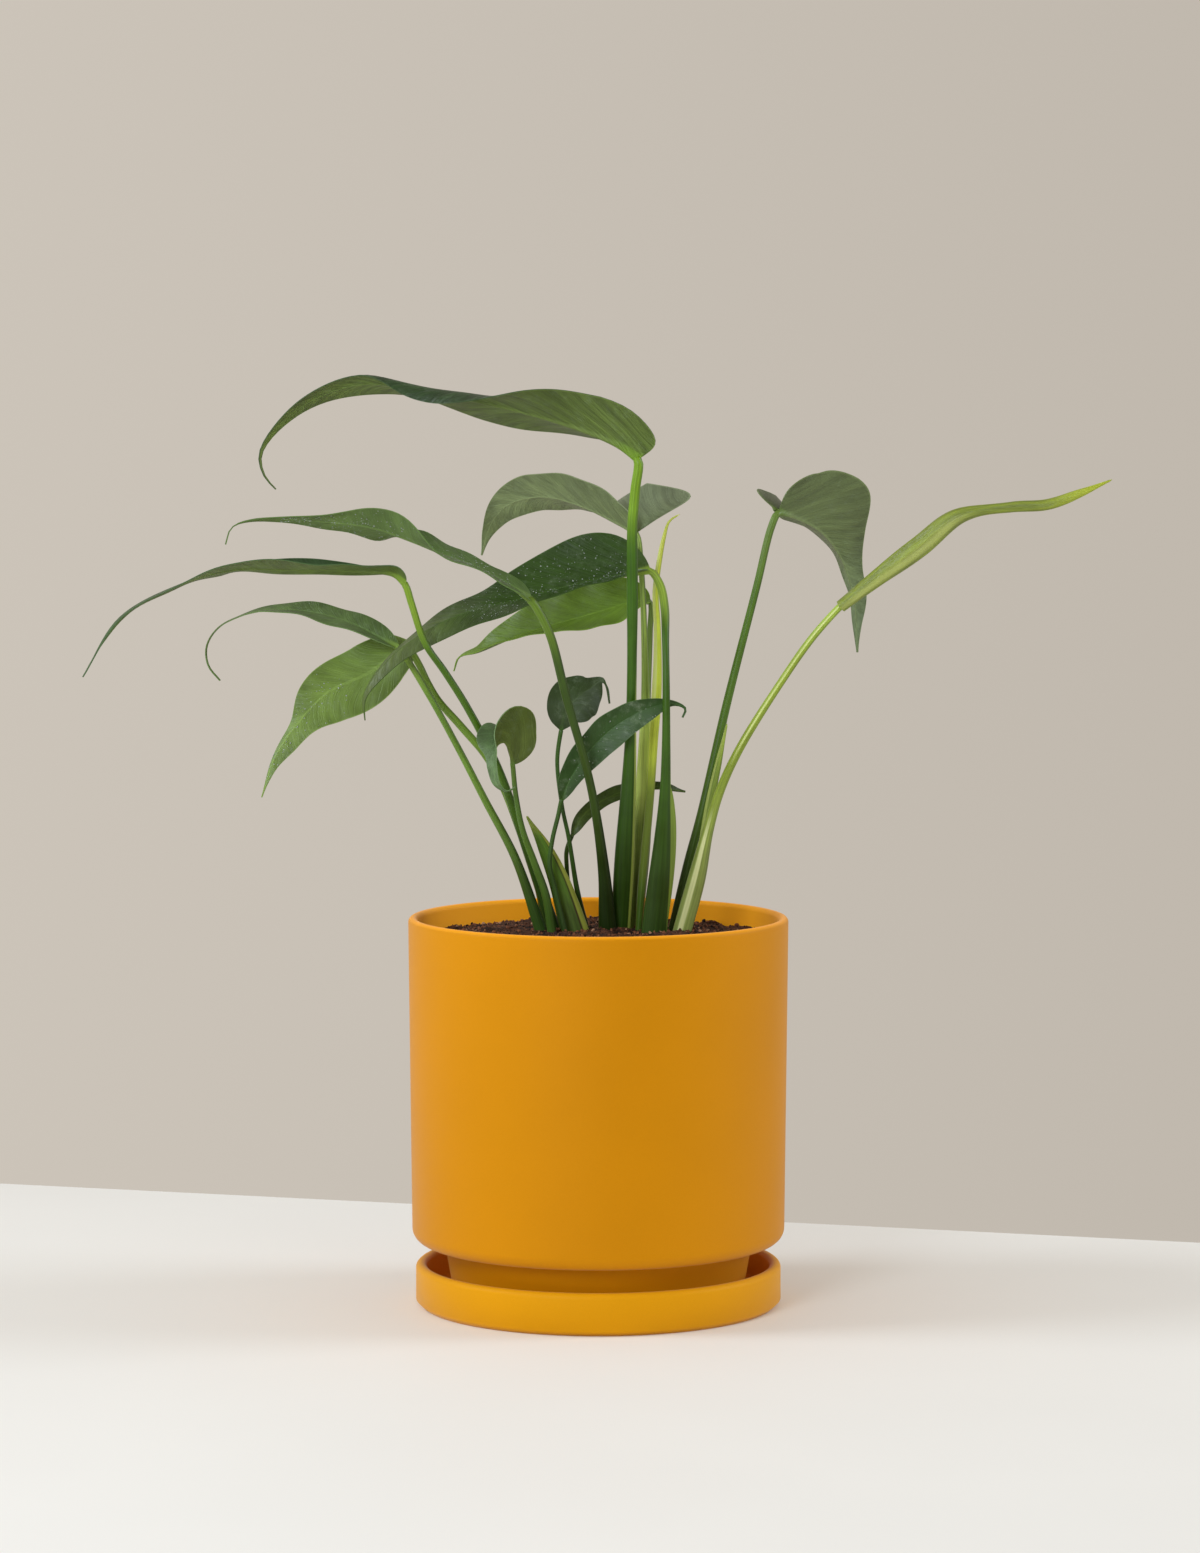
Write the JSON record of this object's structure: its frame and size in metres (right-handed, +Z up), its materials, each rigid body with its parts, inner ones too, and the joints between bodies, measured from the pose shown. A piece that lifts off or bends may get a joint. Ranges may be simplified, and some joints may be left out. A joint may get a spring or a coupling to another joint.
{
  "type": "potted flame monstera",
  "caption": "Potted houseplant: narrow, arching, undulating leaves on tall sheathed stalks, rooted in soil in a glazed cylinder pot that stands in a matching saucer.",
  "frame": {"origin": "middle of the saucer's flat underside, where the object rests", "axes": "+Z up; -Y towards the side the picture was taken from; +X to that viewer's right, along the plant's longest reach"},
  "size_m": [0.5314, 0.2045, 0.4973],
  "materials": {
    "glaze": "satin",
    "soil": "rough",
    "leaf": "satin",
    "petiole": "satin",
    "sheath": "satin",
    "new_leaf": "satin"
  },
  "bodies": {
    "root": {"saucer": "glaze", "pot": "glaze", "soil": "soil", "leaf_01_blade": "leaf", "leaf_01_petiole": "petiole", "leaf_02_blade": "leaf", "leaf_02_petiole": "petiole", "leaf_03_blade": "leaf", "leaf_03_petiole": "petiole", "leaf_04_blade": "leaf", "leaf_04_petiole": "petiole", "leaf_05_blade": "leaf", "leaf_05_petiole": "petiole", "leaf_06_blade": "leaf", "leaf_06_petiole": "petiole", "leaf_07_blade": "leaf", "leaf_07_petiole": "petiole", "leaf_08_blade": "leaf", "leaf_08_petiole": "petiole", "leaf_09_spear": "new_leaf", "leaf_10_blade": "leaf", "leaf_10_petiole": "petiole", "leaf_11_petiole": "petiole", "leaf_11_rolled_blade": "new_leaf", "leaf_12_blade": "leaf", "leaf_12_petiole": "petiole", "leaf_13_blade": "leaf", "leaf_13_petiole": "petiole", "leaf_14_blade": "leaf", "leaf_14_petiole": "petiole", "leaf_15_blade": "leaf", "leaf_15_petiole": "petiole", "sheath_left": "sheath", "sheath_right": "sheath"}
  },
  "joints": []
}
